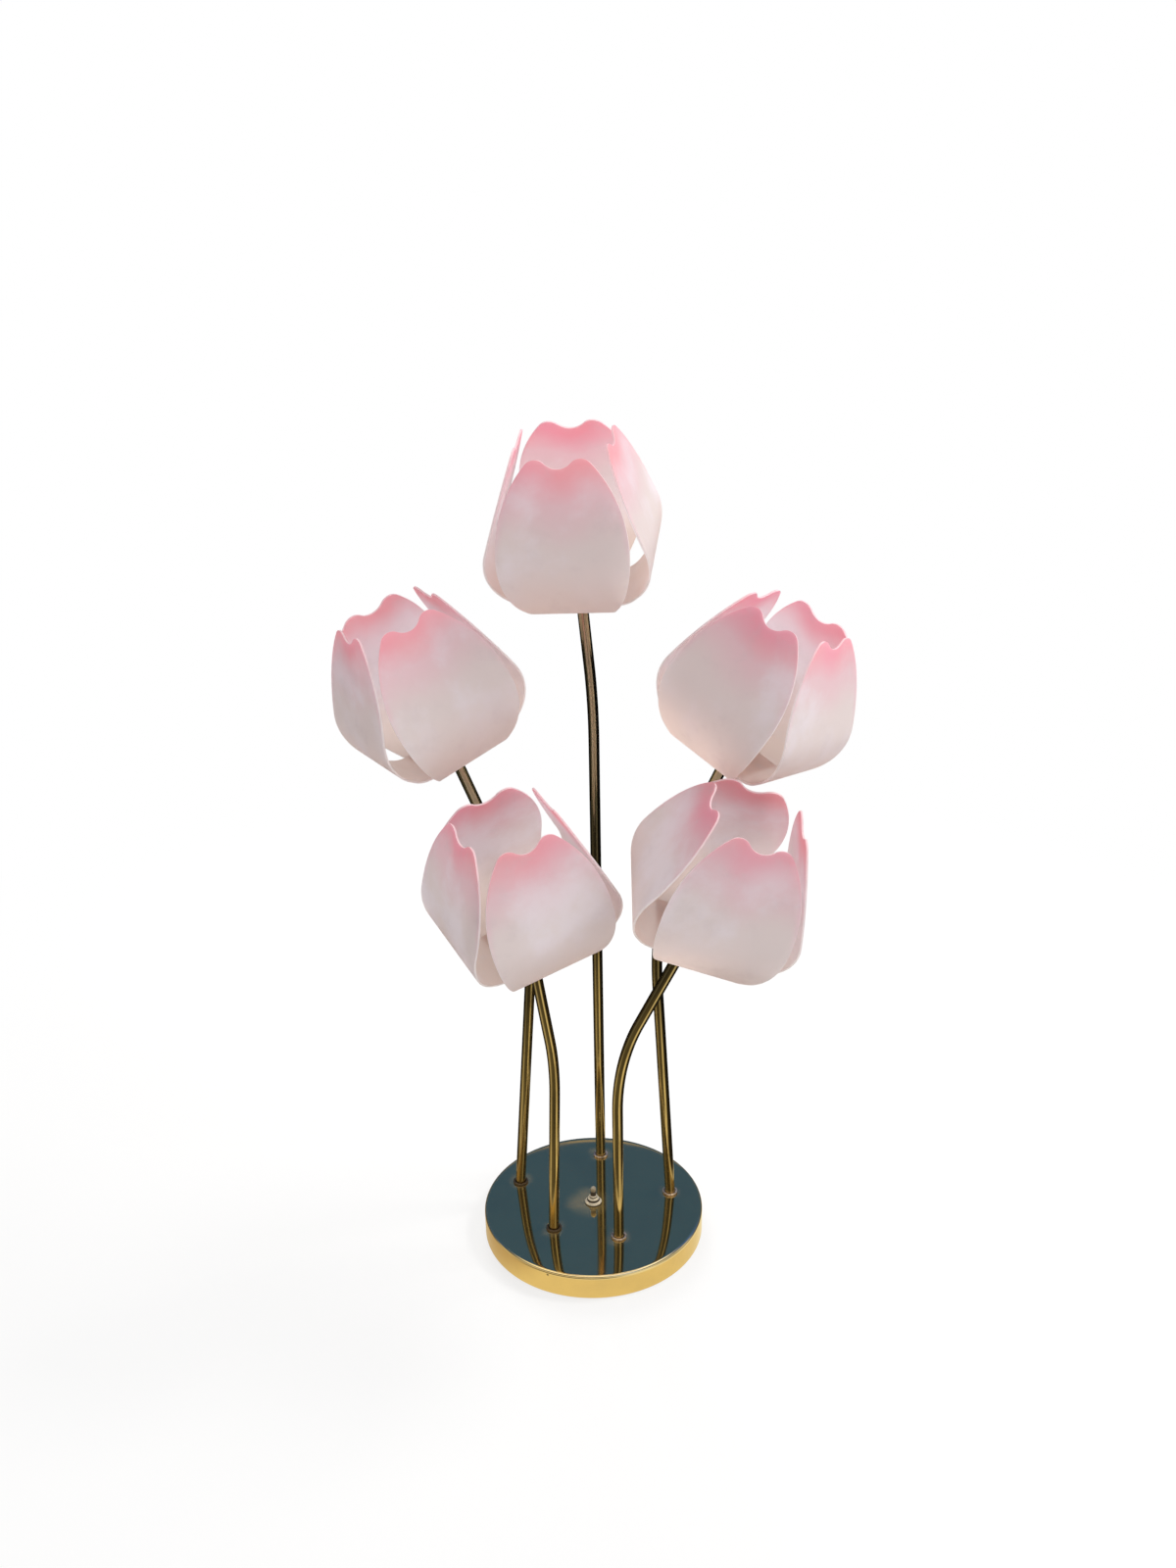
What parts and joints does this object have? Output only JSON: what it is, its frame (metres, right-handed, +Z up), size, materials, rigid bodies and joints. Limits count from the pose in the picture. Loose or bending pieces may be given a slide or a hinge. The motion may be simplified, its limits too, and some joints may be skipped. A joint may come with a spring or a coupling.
{
  "type": "tulip shade table lamp",
  "caption": "Table lamp with a round brass base, bent brass stems and tulip shades of crossed frosted strips, switched by a push button on the base.",
  "frame": {"origin": "middle of the base's underside, on the table", "axes": "+Z up, -Y towards the front, where the picture was taken from, +X to the right"},
  "size_m": [0.426, 0.2718, 0.7388],
  "materials": {
    "polished_brass": "mirror polished, lightly tarnished round the stems",
    "aged_brass": "dark aged lacquered brass",
    "dark_brass": "dark patinated brass",
    "raw_brass": "plain turned brass",
    "nickel": "worn nickel plate",
    "steel": "zinc plated",
    "iron": "rough casting",
    "board": "pressed board",
    "felt": "dark green felt",
    "black_plastic": "moulded phenolic",
    "holder_plastic": "moulded white",
    "lead": "gold coloured insulation",
    "frosted_sheet": "translucent frosted sheet, pearl white with sprayed pink tips",
    "bulb_glass": "frosted glass"
  },
  "bodies": {
    "lamp": {"base_shell": "polished_brass", "base_weight": "iron", "bottom_cover": "board", "felt_pad": "felt", "lead_inlet": "black_plastic", "switch_body": "black_plastic", "switch_bushing": "nickel", "switch_nut": "nickel", "wiring_loop": "lead", "stem_leads": "lead", "foot_rings": "dark_brass", "foot_washers": "steel", "foot_nuts": "raw_brass", "stem_top": "aged_brass", "stem_upper_left": "aged_brass", "stem_upper_right": "aged_brass", "stem_lower_left": "aged_brass", "stem_lower_right": "aged_brass", "outer_petals_top": "frosted_sheet", "outer_petals_upper_left": "frosted_sheet", "outer_petals_upper_right": "frosted_sheet", "outer_petals_lower_left": "frosted_sheet", "outer_petals_lower_right": "frosted_sheet", "inner_petals_top": "frosted_sheet", "inner_petals_upper_left": "frosted_sheet", "inner_petals_upper_right": "frosted_sheet", "inner_petals_lower_left": "frosted_sheet", "inner_petals_lower_right": "frosted_sheet", "shade_nipples": "raw_brass", "shade_washers": "steel", "shade_nuts": "raw_brass", "holder_top": "holder_plastic", "holder_upper_left": "holder_plastic", "holder_upper_right": "holder_plastic", "holder_lower_left": "holder_plastic", "holder_lower_right": "holder_plastic", "screw_shells": "raw_brass", "centre_contacts": "raw_brass", "bulb_top": "bulb_glass", "bulb_upper_left": "bulb_glass", "bulb_upper_right": "bulb_glass", "bulb_lower_left": "bulb_glass", "bulb_lower_right": "bulb_glass", "bulb_caps": "raw_brass"},
    "button": {"switch_button": "nickel"}
  },
  "joints": [
    {"name": "button_press", "type": "slide", "parent": "lamp", "child": "button", "axis": [0, 0, -1], "range_m": [0, 0.003], "stiffness_N_per_m": 400, "springref_m": -0.001}
  ]
}
